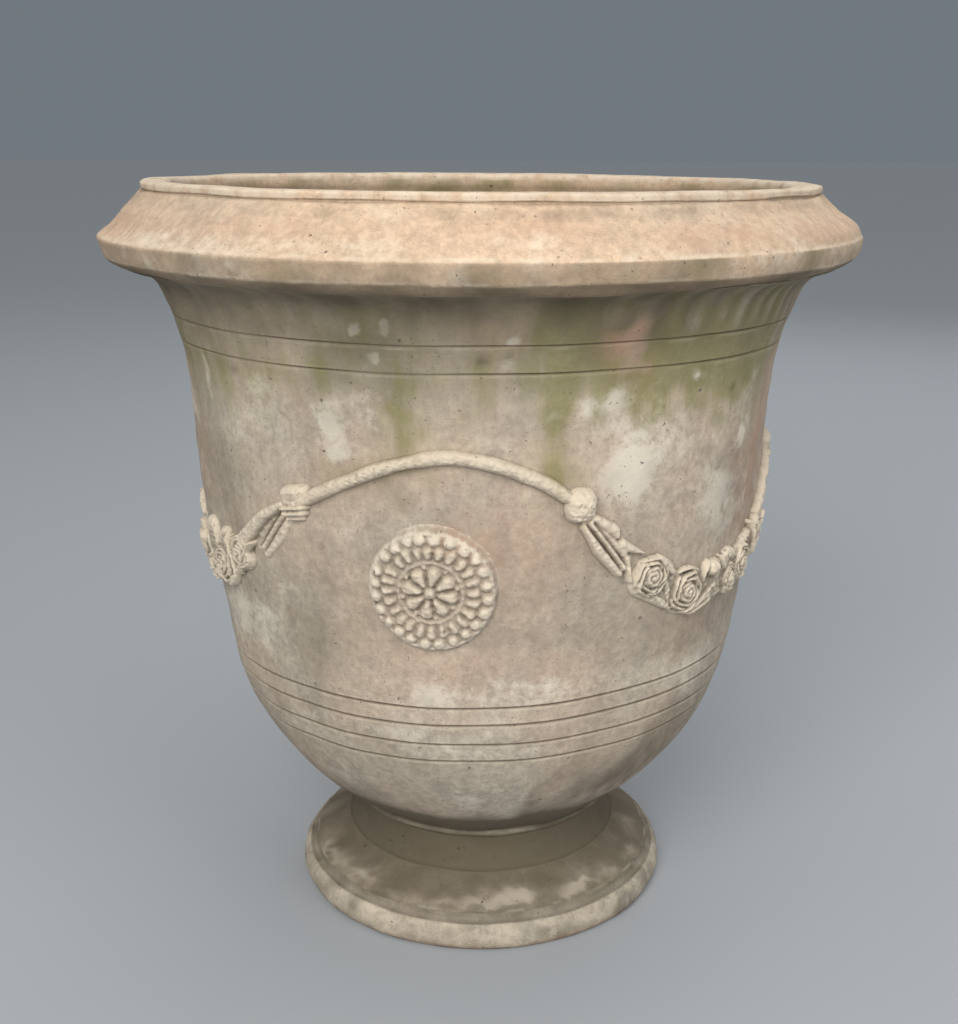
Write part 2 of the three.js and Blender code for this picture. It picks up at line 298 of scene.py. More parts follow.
def terracotta(
    name, warm, cool, pale, bloom=WHITE, patches=(0.12, 0.80), pits=0.7, turning=0.25, streaks=0.16
):
    """Weathered clay: warm and cool are its two main tones, pale its worn patches, bloom its lime.

    patches says where lime begins and is full: the closer together, the crisper its edges. pits, turning
    and streaks say how much pits, turning lines and dark runs show.
    """
    clay = Clay(name)
    broad = clay.noise(9, 5, 0.6)
    patchy = clay.noise(30, 6, 0.65, distortion=0.5)
    fine = clay.noise(170, 6, 0.7)
    grain = clay.noise(950, 3, 0.6)
    runs = clay.noise(1, 6, 0.62, place=clay.stretched(36, 36, 6))

    colour = clay.mix(clay.between(broad, 0.38, 0.62), warm, cool)
    worn = clay.times(clay.between(patchy, 0.50, 0.70), 0.4)
    flecks = clay.times(clay.between(clay.noise(260, 4, 0.7), 0.56, 0.68), 0.45)
    colour = clay.mix(clay.math("MAXIMUM", worn, flecks), colour, pale)
    streaked = clay.between(runs, 0.42, 0.72, 1.0 + streaks / 4, 1.0 - streaks * 3 / 4)
    colour = clay.mix(1.0, colour, clay.grey(streaked), "MULTIPLY")
    tone = clay.between(patchy, 0.3, 0.7, 0.95, 1.06)
    tone = clay.plus(tone, clay.between(fine, 0.25, 0.75, -0.20, 0.17))
    gritty = clay.plus(tone, clay.between(grain, 0.25, 0.75, -0.07, 0.07))
    colour = clay.mix(1.0, colour, clay.grey(gritty), "MULTIPLY")

    # Rosy bare clay, then algae, lime bloom, and grime with painted shade, each broken up by its own noise.
    blush = clay.times(clay.value("blush"), clay.between(patchy, 0.30, 0.60, 0.4, 1.0))
    colour = clay.mix(clay.math("MULTIPLY", blush, 0.8, clamp=True), colour, ROSE)
    drips = clay.noise(1, 6, 0.7, place=clay.stretched(75, 75, 12))
    streaky = clay.plus(clay.between(drips, 0.28, 0.72, -0.35, 0.35), clay.value("algae"))
    streaky = clay.plus(streaky, clay.between(fine, 0.25, 0.75, -0.26, 0.26))
    green = clay.times(clay.between(streaky, -0.15, 1.10), clay.value("algae"))
    colour = clay.mix(clay.math("MINIMUM", green, 0.68), colour, MOSS)
    ragged = clay.plus(clay.between(patchy, 0.25, 0.75, -0.32, 0.32), clay.value("lime"))
    ragged = clay.plus(ragged, clay.between(fine, 0.25, 0.75, -0.22, 0.22))
    lime = clay.times(clay.between(ragged, *patches), clay.value("lime"))
    colour = clay.mix(clay.math("MINIMUM", lime, 0.72), colour, bloom)
    # Grime, and painted shade in the same amount: under the collar, under the belly, on the foot and in the
    # cove.
    dirt_and_shade = clay.times(clay.value("grime"), clay.between(patchy, 0.25, 0.65, 0.86, 1.04))
    colour = clay.mix(clay.math("MINIMUM", dirt_and_shade, 0.86), colour, GRIME_AND_SHADE)

    # Pressed relief and edges: cream where rubbed and where highlight is painted on ridges and edges, dark
    # where painted shade lies.
    rub_and_highlight = clay.times(clay.value("crest"), clay.between(fine, 0.25, 0.60, 0.5, 1.0))
    colour = clay.mix(clay.math("MINIMUM", rub_and_highlight, 0.9), colour, RUB_AND_HIGHLIGHT_CREAM)
    # Painted shade in hollows, grooves and creases, in the grime colour.
    colour = clay.mix(clay.math("MINIMUM", clay.value("hollow"), 0.92), colour, GRIME_AND_SHADE)

    # Pits and specks, thicker in some places than others.
    crowded = clay.between(patchy, 0.42, 0.62, 0.25, 1.0)
    specks = clay.between(clay.noise(420, 2, 0.5), 0.69, 0.75)
    wander = clay.noise(500, 2, 0.5, output="Color")
    nudge = {0: wander, 1: (0.004, 0.004, 0.004), 2: clay.place}
    nudged = clay.node("ShaderNodeVectorMath", nudge, operation="MULTIPLY_ADD").outputs[0]
    near, chance = clay.cells(85, nudged)
    pit = clay.times(clay.between(near, 0.05, 0.12, 1.0, 0.0), clay.between(chance, 0.86, 0.88))
    holes = clay.math("MAXIMUM", clay.times(specks, crowded), pit)
    colour = clay.mix(clay.times(holes, pits), colour, PIT)

    lines = clay.noise(1, 3, 0.6, place=clay.stretched(9, 9, 420))
    normal = clay.bumped(lines, 0.0005, turning)
    normal = clay.bumped(patchy, 0.0012, 0.35, normal)
    normal = clay.bumped(fine, 0.0009, 0.6, normal)
    normal = clay.bumped(grain, 0.0003, 0.5, normal)
    normal = clay.bumped(holes, -0.0009, 0.9, normal)
    roughness = clay.between(patchy, 0.3, 0.7, 0.97, 0.84)
    return clay.finish(colour, roughness, normal)


BODY_CLAY = terracotta(
    "body_clay", (0.455, 0.365, 0.280), (0.405, 0.350, 0.278), (0.50, 0.43, 0.345), pits=0.6
)
COLLAR_CLAY = terracotta(
    "collar_clay",
    (0.53, 0.385, 0.265),
    (0.49, 0.380, 0.275),
    (0.56, 0.46, 0.345),
    bloom=(0.66, 0.57, 0.45),
    turning=0.10,
    streaks=0.03,
)
FOOT_CLAY = terracotta(
    "foot_clay",
    (0.37, 0.315, 0.245),
    (0.32, 0.285, 0.225),
    (0.42, 0.37, 0.30),
    bloom=(0.50, 0.43, 0.335),
    patches=(0.34, 0.56),
    pits=0.9,
    streaks=0.05,
)
JOINT_CLAY = terracotta("joint_clay", (0.22, 0.19, 0.145), (0.20, 0.18, 0.135), (0.28, 0.25, 0.19))
RELIEF_CLAY = terracotta(
    "relief_clay", (0.43, 0.350, 0.270), (0.40, 0.345, 0.270), (0.50, 0.43, 0.345), turning=0.0
)
FLOWER_CLAY = terracotta(
    "flower_clay", (0.31, 0.255, 0.190), (0.29, 0.25, 0.19), (0.38, 0.33, 0.26), turning=0.0
)


# ---- the wall

WALL_CURVES = (
    ((114, 84), (154.7, 111.8), (196.3, 156.3), (207.7, 225)),
    ((207.7, 225), (214.7, 267.1), (224.1, 328.3), (226.4, 365)),
    ((226.4, 365), (232, 451.6), (230.3, 458.8), (250, 507)),
    ((250, 507), (258.9, 528.7), (277, 521.6), (288.9, 533.8)),
)
WALL_LINE = np.concatenate([[WALL_CURVES[0][0]], *[bezier(curve, 60) for curve in WALL_CURVES]])


def wall_radius(height):
    return np.interp(height, WALL_LINE[:, 1], WALL_LINE[:, 0])


STAIN_RADIUS = 230.0  # the wall's radius just under the neck: noise on the wall is measured there
NECK_RADIUS = 240.0
WALL_TOP = 527  # where the collar sits on the wall
MEDALLION_HEIGHT = sum(corner[2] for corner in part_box("medallion_1")) / 2 / MM


def wall_wobble(azimuth, height):
    """How far the hand-thrown wall stands off a true turned one."""
    oval = 0.6 * np.cos(2 * azimuth + 0.6) + 0.35 * np.cos(3 * azimuth - 1.1)
    spiral = 0.22 * np.sin(height * (2 * np.pi / 29) + azimuth) * ease(height, 120, 260)
    hand = waves(round_points(azimuth, STAIN_RADIUS, height), 95, seed=11)
    return oval + spiral + 0.4 * hand


# Turned grooves at their mean heights. The wheel wandered, so they don't run quite level.
BELLY_GROOVES = (183.0, 198.3, 215.2, 229.4)
NECK_GROOVES = (471.9, 490.7)
GROOVE_ROWS = (-3.8, -2.6, -1.9, -1.4, -1.0, -0.65, -0.3, 0.0, 0.3, 0.65, 1.0, 1.4, 1.9, 2.6, 3.8)


def groove_lift(azimuth, height):
    """How far the rows near the grooves ride above their own level."""
    t = azimuth - VIEW_AZIMUTH
    belly = 4.7 * np.sin(t) + 0.5 * np.sin(2 * t) - 1.3 * np.sin(3 * t) + 0.9 * np.sin(4 * t)
    belly = belly + 2.0 * np.cos(2 * t) - 1.1 * np.cos(4 * t)
    neck = 0.8 * np.cos(2 * t) + 0.25 * np.sin(5 * t)
    near_belly = ease(height, 130, 174) * (1 - ease(height, 238, 290))
    near_neck = ease(height, 440, 464) * (1 - ease(height, 497, 518))
    return belly * near_belly + neck * near_neck


def wall_heights():
    """Row heights up the outside of the wall: even, and close together across each groove."""
    line = WALL_LINE[WALL_LINE[:, 1] < WALL_TOP]
    reach = np.concatenate([[0], np.cumsum(np.linalg.norm(np.diff(line, axis=0), axis=1))])
    plain = np.interp(np.arange(0, reach[-1], 3.6), reach, line[:, 1])
    grooves = BELLY_GROOVES + NECK_GROOVES
    clear = np.min(np.abs(plain[:, None] - np.array(grooves)[None, :]), axis=1) > 4.6
    dense = np.concatenate([groove + np.array(GROOVE_ROWS) for groove in grooves])
    top = np.array([526.0, 526.7, 526.95])
    plain = plain[clear & (plain < 525)]
    return np.sort(np.concatenate([plain, dense, top]))


def groove_cut(distance, width, depth):
    """A turned groove with a little clay pushed up along its edges."""
    return depth * (0.16 * bump(np.abs(distance), 1.9 * width, 0.8 * width) - bump(distance, 0, width))


def neck_flutes(azimuth, height):
    """Finger flutes down the cove under the collar, strongest on the right: below 0 in a flute."""
    t = azimuth - VIEW_AZIMUTH
    strength = 0.25 + bump(t, math.radians(50), math.radians(22))
    pattern = np.sin(78 * azimuth + 1.6 * np.sin(5 * azimuth) + 0.012 * height)
    return pattern * strength * ease(height, 488, 502)


def on_outside(radius, height):
    return radius > wall_radius(height) - 3


def wall_shape(azimuth, radius, height):
    outside = on_outside(radius, height)
    lift = np.where(outside, groove_lift(azimuth, height), 0)
    widen = np.where(outside, wall_radius(height + lift) - wall_radius(height), 0)
    uneven = np.clip(1 + 0.3 * waves(round_points(azimuth, STAIN_RADIUS, height), 90, seed=5), 0.35, 1.6)
    cuts = sum(groove_cut(height - level, 0.85, 1.7) for level in BELLY_GROOVES)
    cuts = cuts + sum(groove_cut(height - level, 0.65, 1.0) for level in NECK_GROOVES)
    seam = 1 - ease(height, WALL_TOP - 3, WALL_TOP)
    out = wall_wobble(azimuth, height) + (uneven * cuts + 0.55 * neck_flutes(azimuth, height)) * seam
    return np.where(outside, out, 0.5 * wall_wobble(azimuth, height)), widen, lift


def spotted(azimuth, height, wander, ragged, spots):
    """Soft patches, for stains and for painted shade. Each spot: azimuth in degrees, height, half width in
    degrees, half height, strength.
    """
    value = np.zeros_like(azimuth)
    for spot_azimuth, spot_height, half_width, half_height, strength in spots:
        across = turn_between(azimuth, math.radians(spot_azimuth)) / math.radians(half_width)
        up = (height - spot_height) / half_height
        near = np.exp(-((across + 0.22 * wander) ** 2) - (up + 0.2 * ragged) ** 2)
        value = value + strength * near
    return value


# Stains on the wall, with painted shade in the grime list, each an azimuth and height, half width in
# degrees, half height and strength.
ALGAE = (
    (-3.8, 436, 5.2, 38, 0.72), (-8, 500, 5, 20, 0.30), (-16, 470, 4.5, 30, 0.35),
    (20.6, 458, 3.4, 64, 0.80), (21.5, 508, 4.4, 24, 0.55), (29.5, 462, 4.0, 44, 0.45),
    (38.3, 472, 4.0, 46, 0.80), (47.5, 480, 3.8, 40, 0.70), (55, 458, 5.4, 38, 0.70),
    (62, 486, 4.4, 34, 0.60), (68, 440, 5.0, 46, 0.50), (-31, 448, 9, 32, 0.36),
    (-44, 450, 7, 30, 0.42), (-58, 460, 9, 44, 0.36), (9, 460, 5, 30, 0.34), (40, 470, 26, 42, 0.18),
    (-21, 273, 9, 24, 0.30), (-13, 402, 6, 12, 0.45), (20, 403, 6, 14, 0.50), (108, 470, 7, 45, 0.70),
    (131, 455, 5.5, 50, 0.70), (165, 480, 8, 40, 0.60), (198, 450, 5.5, 45, 0.75),
    (222, 480, 10, 30, 0.50), (252, 445, 6, 48, 0.70), (283, 470, 8, 35, 0.55),
)
LIME = (
    (-18.4, 440, 2.2, 11, 0.75), (-16.0, 425, 3.0, 14, 0.85), (-32.5, 458, 3.6, 12, 0.6),
    (-48.9, 455, 1.4, 14, 0.6), (-36, 430, 8, 15, 0.5), (-10.2, 450, 2.8, 12, 0.5),
    (25.1, 450, 2.6, 9, 0.8), (31.6, 452, 2.4, 8, 0.6), (34.0, 403, 5.4, 28, 0.92),
    (44, 420, 6, 26, 0.45), (56, 375, 11, 24, 0.75), (64, 345, 8, 20, 0.5), (-48, 268, 11, 26, 0.8),
    (52, 228, 14, 18, 0.55), (-36, 190, 12, 10, 0.4), (46.9, 464, 1.1, 5, 0.8),
    (63.7, 410, 1.2, 9, 0.9), (65, 435, 3.0, 24, 0.5), (12.5, 500, 3.5, 8, 0.3),
    (12.7, 480, 3.2, 6, 0.45), (-10.3, 502, 1.0, 6, 1.6), (-5.2, 504, 0.9, 5, 1.5),
    (-7.6, 482, 0.8, 4, 1.2), (13.2, 494, 0.8, 4, 1.2), (100, 430, 8, 22, 0.8), (122, 410, 6, 30, 0.7),
    (150, 440, 9, 26, 0.6), (186, 415, 7, 30, 0.8), (214, 430, 9, 22, 0.6), (240, 410, 6, 26, 0.8),
    (268, 440, 9, 20, 0.6), (296, 425, 7, 26, 0.6), (-31, 290, 6, 40, 0.45), (12, 240, 19, 14, 0.62),
    (-8, 206, 24, 8, 0.6), (10, 190, 26, 7, 0.5), (14, 140, 13, 26, 0.5), (-26, 150, 12, 22, 0.35),
    (130, 260, 16, 40, 0.4), (205, 230, 18, 26, 0.4), (275, 280, 12, 36, 0.4),
)
BLUSH = (
    (33, 488, 5.0, 21, 1.5), (31.6, 494, 0.9, 5, 0.8), (12.5, 497, 5, 16, 0.35),
    (-62, 425, 9, 55, 0.45), (76, 420, 7, 60, 0.6), (70, 380, 6, 30, 0.5), (16, 345, 7, 26, 0.45),
    (8, 363, 6, 14, 0.6), (10, 262, 16, 16, 0.35), (-8, 395, 14, 20, 0.2), (140, 400, 14, 70, 0.4),
    (225, 380, 14, 70, 0.4),
)
# Grime, and painted shade: the wide band round the belly's underside and the dark patches low on the belly.
GRIME_AND_SHADE_SPOTS = (
    (-10.5, 519, 3.2, 10, 0.30), (-8, 478, 14, 22, 0.16), (-62, 400, 14, 60, 0.16),
    (-48, 390, 10, 24, 0.10), (16, 300, 14, 40, 0.10), (58, 268, 12, 16, 0.24), (44, 256, 12, 10, 0.16),
    (-26, 240, 5, 30, 0.14), (-48, 165, 16, 30, 0.30), (60, 180, 20, 44, 0.42), (42, 146, 15, 26, 0.52),
    (28, 116, 12, 14, 0.45), (-40, 120, 16, 22, 0.36), (-26, 118, 14, 18, 0.25), (10, 101, 90, 12, 0.6),
)


def wall_stain(azimuth, height):
    """Weathering of the wall and what is stuck on it, with painted shade under the collar and on the
    belly's underside.
    """
    points = round_points(azimuth, STAIN_RADIUS, height)
    wander = waves(points, 42, seed=21)
    ragged = waves(points, 17, seed=22)
    broad = waves(points, 130, seed=23)
    flute = neck_flutes(azimuth, height)
    right = ease(turn_between(azimuth, VIEW_AZIMUTH), 0.4, 0.9)
    # Painted shade under the collar's overhang, darker in the flutes and paler between them, lighter to the
    # camera's right.
    collar_shade = (0.57 - 0.24 * right) * ease(height, 452, 526) + 0.15 * ease(height, 395, 470)
    collar_shade = collar_shade * (1 + 0.05 * wander) - 0.14 * flute
    # Painted shade on the belly's underside.
    belly_underside_shade = 1.0 * ease(-height, -124, -94)
    under_arch = 0.14 * ease(height, 245, 285) * (1 - ease(height, 395, 415))
    grime = collar_shade + belly_underside_shade + under_arch + 0.05 * broad + 0.035 * wander + 0.03 * ragged
    grime = grime + spotted(azimuth, height, wander, ragged, GRIME_AND_SHADE_SPOTS)
    algae = spotted(azimuth, height, wander, ragged, ALGAE) * (1 - 0.25 * flute)
    algae = algae + 0.36 * ease(height, 432, 475)
    algae = algae + 0.35 * ease(-height, -112, -90) * ease(wander, -0.8, 0.8)
    blush = spotted(azimuth, height, wander, ragged, BLUSH)
    bare = unit(blush - 0.5)  # clay too freshly bared to carry much dirt
    mottle = 0.25 * ease(height, 395, 420) * (1 - ease(height, 455, 485)) * ease(ragged + wander, 0.2, 1.6)
    lime = spotted(azimuth, height, wander, ragged, LIME) + mottle
    return {
        "grime": unit(grime * (1 - 0.45 * bare)),
        "algae": unit(algae * (1 - 0.8 * bare)),
        "lime": np.clip(lime, 0, 1.2),
        "blush": unit(blush),
    }


# Burst lime grains round the neck: azimuth in degrees, height, size, strength.
BURST_GRAINS = ((8.8, 481, 4.6, 1.0), (12.7, 484.5, 3.0, 0.7), (57.7, 449, 3.4, 0.9), (-38, 462, 3.0, 0.7))


def burst_grains(azimuth, height):
    total = 0.0
    for at, level, size, strength in BURST_GRAINS:
        across = turn_between(azimuth, math.radians(at)) * NECK_RADIUS
        total = total + strength * np.exp(-((across / size) ** 2 + ((height - level) / size) ** 2))
    return total


def stain_wall(azimuth, radius, height, points):
    outside = on_outside(radius, height)
    # Grooves and burst grains painted dark as shade; the clay just below each groove painted pale as
    # highlight.
    grooves = sum(0.85 * bump(height, level, 0.95) for level in BELLY_GROOVES)
    grooves = grooves + sum(0.55 * bump(height, level, 0.75) for level in NECK_GROOVES)
    lips = sum(bump(height, level - 2.2, 0.9) for level in BELLY_GROOVES)
    lips = lips + 0.5 * sum(bump(height, level - 1.8, 0.7) for level in NECK_GROOVES)
    rough = waves(points, 60, seed=24)
    inside = {"grime": 0.42 + 0.08 * rough, "algae": 0.42 + 0.08 * rough, "lime": 0.15 * rough}
    result = wall_stain(azimuth, height)
    result = {key: np.where(outside, value, inside.get(key, 0.0)) for key, value in result.items()}
    fresh = ease(waves(points, 35, seed=25), -0.9, 0.9)
    result["hollow"] = np.where(outside, grooves + 0.8 * burst_grains(azimuth, height), 0)
    result["crest"] = np.where(outside, 0.55 * lips * fresh, 0)
    return result


def make_body():
    heights = wall_heights()
    wall = np.stack([wall_radius(heights), heights], axis=1)
    seat = outline((18, 81), [(60, 81)], [(60, 68)], [(80, 68)], [(80, 81)], [(110, 81)], spacing=8)
    top = outline(
        (276.0, 527.05), [(256, 527)], [(256, 535)], [(244, 535)], [(244, 527)], [(238, 527)], spacing=5
    )
    inside = outline(
        (236, 527),
        [(214, 500), (211, 450), (205, 372)],
        [(200, 300), (192, 260), (184, 222)],
        [(172, 160), (128, 112), (60, 107)],
        [(18, 104)],
        spacing=16,
    )
    section = np.concatenate([seat, wall, top, inside])
    turned_piece("body", section, wall_shape, stain_wall, BODY_CLAY)


# ---- collar, joint and foot


def chips(azimuth, seed, count, size, depth):
    """Small breaks along an edge, at random places round it."""
    rng = np.random.default_rng(seed)
    total = 0.0
    for place in rng.uniform(0, 2 * np.pi, count):
        width = math.radians(size * rng.uniform(0.4, 1.5))
        total = total + depth * rng.uniform(0.3, 1.0) * bump(turn_between(azimuth, place), 0, width)
    return total


def worn_edge(azimuth, points, seed, count, size, depth, long, dent):
    """How far an edge is worn back: chips, and between them dents about that long."""
    return chips(azimuth, seed, count, size, depth) + dent * np.abs(waves(points, long, seed=seed + 1))


def collar_shape(azimuth, radius, height):
    points = round_points(azimuth, radius, height)
    t = azimuth - VIEW_AZIMUTH
    outer = (radius > 256.5) & (height < 580)
    lip = ease(height, 577, 579.5)
    arris = bump(height, 547.8, 3.5) * ease(radius, 283, 290)
    foot_of_band = bump(height, 533.8, 2.6) * ease(radius, 281, 287)
    seam = ease(height, 527, 531)
    out = 0.30 * waves(points, 85, seed=31) + 0.10 * waves(points, 22, seed=32)
    out = out - arris * worn_edge(azimuth, points, 33, count=20, size=0.8, depth=0.84, long=44, dent=0.18)
    band_wear = worn_edge(azimuth, points, 35, count=16, size=1.2, depth=0.72, long=50, dent=0.2)
    out = out - foot_of_band * band_wear
    # The slope swells above a blunter edge on the right, and is flatter on the left.
    swell = 1.5 * np.sin(t) * bump(height, 556, 8) * (radius > 275)
    blunt = -1.6 * (0.35 + np.sin(t)) * bump(height, 548, 4.5) * ease(radius, 283, 290)
    out = np.where(outer, out + swell + blunt, 0.5 * out)
    out = out * seam + (1 - seam) * np.where(radius > 262, wall_wobble(azimuth, height), 0)
    widen = -lip * (radius > 250) * chips(azimuth, 37, 22, 1.4, 0.5)
    tilt = (1.5 * np.cos(t) - 2.05 * np.sin(t) - 0.4) * ease(height, 536, 578)
    return out, widen, tilt + lip * 0.22 * waves(points, 90, seed=38)


# The same on the collar's slope.
SLOPE_BLUSH = (
    (-62, 560, 16, 9, 0.5), (-25, 563, 18, 8, 0.45), (18, 566, 10, 7, 0.5), (40, 560, 7, 8, 0.6),
    (62, 556, 10, 10, 0.6), (85, 560, 10, 10, 0.5), (140, 560, 25, 10, 0.5), (220, 560, 25, 10, 0.5),
)
SLOPE_CREAM = (
    (-38, 553, 16, 6, 0.7), (-8, 555, 10, 7, 0.55), (14, 558, 4, 6, 0.5), (30, 552, 6, 4, 0.5),
    (55, 552, 9, 4, 0.5), (115, 556, 14, 8, 0.6), (185, 556, 14, 8, 0.6), (255, 556, 16, 8, 0.6),
)


def from_camera(azimuth):
    """Degrees round from the camera's side, positive to its right."""
    return np.degrees(turn_between(azimuth, VIEW_AZIMUTH))


def stain_collar(azimuth, radius, height, points):
    rough = waves(points, 55, seed=41)
    fine = waves(points, 17, seed=42)
    dab = waves(points, 26, seed=43)
    slope = ease(height, 548.8, 550.2) * (radius > 258.5)
    band = (1 - ease(height, 546.8, 548.4)) * ease(height, 532.8, 534.2) * (radius > 270)
    cove = (1 - ease(height, 532.8, 534.2)) * (radius > 250)
    inside = (radius < 256) & (height < 579)
    # Painted shade in the crease under the lip, and a painted shadow line on the slope below it.
    crease = bump(height, 578.9, 0.8) * (radius > 256)
    lip_shadow = bump(height, 573.5, 4.0) * (radius > 258.5) * (radius < 270)
    # Painted highlight, with wear, on the arris, the lip's top and the foot of the band.
    edge = bump(height, 549.3, 1.1) * (radius > 285) + 1.3 * ease(height, 579.5, 581)
    foot_of_band = bump(height, 534.6, 0.9) * (radius > 280)
    lime = slope * spotted(azimuth, height, rough, fine, SLOPE_CREAM)
    algae = band * (0.22 + 0.16 * rough) + inside * (0.30 + 0.25 * rough) + cove * 0.2 * ease(dab, 0, 1)
    return {
        # Grime, with painted shade in the cove under the band and beneath the lip; the band darker, partly
        # dirt and partly painted shade, less so to the camera's right.
        "grime": unit(
            band * (0.40 - 0.12 * ease(from_camera(azimuth), 15, 55) + 0.08 * rough + 0.07 * dab)
            + cove * (0.72 + 0.1 * rough)
            + inside * (0.06 + 0.08 * rough)
            + lip_shadow * (0.14 + 0.08 * dab)
            + slope * 0.08 * unit(dab + fine)
        ),
        "algae": unit(algae),
        "lime": unit(lime + band * (0.22 + 0.18 * fine + 0.12 * dab)),
        "hollow": 0.45 * crease,
        "crest": unit(0.55 * edge * ease(fine, -1.5, 0.5) + 0.3 * foot_of_band * ease(dab, -1, 1)),
        "blush": slope * unit(spotted(azimuth, height, rough, fine, SLOPE_BLUSH)),
    }


def make_collar():
    bottom = outline((256.3, 527.3), [(275.2, 527.0)], spacing=4)
    heights = np.array([526.95, 527.2, 527.8, 529, 530.2, 531.4, 532.4, 533.2])
    cove = np.stack([wall_radius(heights), heights], axis=1)
    outer = outline(
        (288.7, 533.75),
        [(289.3, 534.6)],
        [(292.3, 544.8)],
        [(293.5, 547.6), (291.2, 549.3)],
        [(285, 556.5), (274, 564.5), (261.0, 578.0)],
        [(259.0, 578.5)],
        [(258.6, 579.4)],
        [(259.8, 580.2)],
        [(260.0, 583.0)],
        [(259.8, 584.7), (257.2, 585)],
        spacing=0.8,
    )
    inner = outline(
        (255.5, 585.2),
        [(242, 584.8)],
        [(239, 584.5), (238.6, 582)],
        [(238.5, 575)],
        [(258, 547.6), (236, 527.3)],
        [(243.7, 527.3)],
        [(243.7, 535.3)],
        [(256.3, 535.3)],
        spacing=3.0,
    )
    section = np.concatenate([bottom, cove, outer, inner])
    turned_piece("collar", section, collar_shape, stain_collar, COLLAR_CLAY)


def bead_shape(azimuth, radius, height):
    points = round_points(azimuth, radius, height)
    outer = ease(radius, 95, 105)
    return outer * (0.4 * waves(points, 40, seed=51) + 0.2 * waves(points, 12, seed=52)), 0, 0


def stain_bead(azimuth, radius, height, points):
    worn = ease(waves(points, 45, seed=54), -1.0, 1.2)
    top = ease(height, 76.5, 79.5)
    return {
        # Dark with grime and painted shade under the belly; its top paler, partly wear and partly painted
        # highlight.
        "grime": 0.62 - 0.4 * top * worn + 0.1 * waves(points, 30, seed=53),
        "crest": 0.18 * top * worn,
        "algae": np.full_like(height, 0.25),
    }


def make_neck_bead():
    section = outline(
        (80.3, 74.3),
        [(107.5, 74.3)],
        [(112.6, 74.8), (112.6, 80.2), (107.5, 80.7)],
        [(80.3, 80.7)],
        [(80.3, 75)],
        spacing=1.2,
    )
    turned_piece("neck_bead", section, bead_shape, stain_bead, JOINT_CLAY)


def foot_shape(azimuth, radius, height):
    points = round_points(azimuth, radius, height)
    edge = bump(height, 28.5, 2.5) * ease(radius, 139, 145)
    out = 0.35 * waves(points, 55, seed=61) + 0.12 * waves(points, 16, seed=62)
    out = out - edge * worn_edge(azimuth, points, 63, count=26, size=2.2, depth=1.1, long=30, dent=0.25)
    return out * ease(height, 0.5, 4), 0, 0


# Pale worn clay on the foot's sloping top: azimuth, radius, half width in degrees, half width, strength.
FOOT_WORN = (
    (-3, 140, 6, 5, 0.7), (12, 137, 9, 8, 0.95), (21, 131, 6, 6, 0.7), (37, 139, 7, 6, 0.85),
    (46, 136, 7, 7, 0.75), (58, 139, 6, 6, 0.7), (75, 139, 6, 5, 0.6), (90, 130, 5, 9, 0.5),
    (-40, 139, 14, 6, 0.9), (-62, 140, 10, 6, 0.8), (-14, 142, 8, 3, 0.5), (130, 138, 12, 7, 0.8),
    (170, 136, 8, 8, 0.7), (205, 138, 12, 7, 0.8), (250, 136, 10, 8, 0.8),
)


def stain_foot(azimuth, radius, height, points):
    rough = waves(points, 38, seed=71)
    fine = waves(points, 13, seed=72)
    dab = waves(points, 24, seed=73)
    upper = height > 21.6
    recess = upper * ease(radius, 145.2, 145.7) * (height < 28.3)
    neck = (1 - ease(radius, 113.5, 116)) * (height > 30)
    slope = ease(radius, 114, 117) * upper * (1 - recess)
    crease = bump(radius, 115, 1.6) * bump(height, 47, 3)
    edge = (1 - ease(height, 21.0, 22.4)) * (radius > 140)
    rim = bump(radius, 145.0, 1.6) * bump(height, 28.8, 1.2)
    worn = slope * spotted(azimuth, radius, 1.6 * rough, 1.2 * fine, FOOT_WORN)
    under = ease(-height, -9, -2) * edge
    # Grime, with the painted shadow of the bowl over the foot's neck and sloping top, and painted shade in
    # the recess.
    grime = neck * (0.97 + 0.03 * rough) + slope * (0.84 + 0.04 * rough + 0.04 * dab - 0.5 * worn)
    speckled = np.clip(dab + 0.8 * fine, -0.4, 1.6)
    grime = grime + recess * (0.48 + 0.1 * dab) + edge * (0.27 + 0.13 * speckled)
    return {
        "grime": unit(grime),
        # Painted shade in the crease, the recess and the foot's neck.
        "hollow": unit(0.7 * crease + 0.12 * recess + 0.4 * neck),
        # Rim and torus painted pale, partly wear and partly painted highlight.
        "crest": unit(0.3 * rim * ease(dab, -0.4, 1.0) + edge * (0.20 + 0.16 * rough)),
        "algae": unit(0.08 * neck + 0.05 * slope),
        "lime": unit(0.85 * worn + edge * (0.42 - 0.13 * speckled)),
        "blush": unit(0.9 * under + 0.30 * neck * unit(dab) + 0.15 * slope),
    }


def make_foot():
    outer = outline(
        (151.4, 0),
        [(157.9, 5), (155.8, 13)],
        [(154.8, 19), (151, 21.5)],
        [(148.2, 22.0)],
        [(145.8, 22.8), (145.7, 25)],
        [(145.5, 28.3)],
        [(144.6, 28.9)],
        [(128, 39), (115.4, 46.3)],
        [(114.6, 46.6)],
        [(108.8, 51), (108, 74)],
        spacing=0.9,
    )
    inner = outline(
        (100, 74), [(80.3, 74)], [(80.3, 60)], [(90, 32), (126, 0)], [(149, 0)], spacing=5.0
    )
    section = np.concatenate([outer, inner])
    turned_piece("foot", section, foot_shape, stain_foot, FOOT_CLAY)


# ---- relief, drawn as heights over a flat sheet

RELIEF_RADIUS = 226  # distances round the wall are measured at this radius
SHEET_STEP = 0.6
UNDER = -1.5  # how far a pressing is sunk into the wall at its edge


def sheet(x_low, x_high, y_low, y_high):
    """Flat positions over a rectangle: round the wall, and up it."""
    xs = np.arange(x_low, x_high + SHEET_STEP, SHEET_STEP)
    ys = np.arange(y_low, y_high + SHEET_STEP, SHEET_STEP)
    return np.meshgrid(xs, ys)


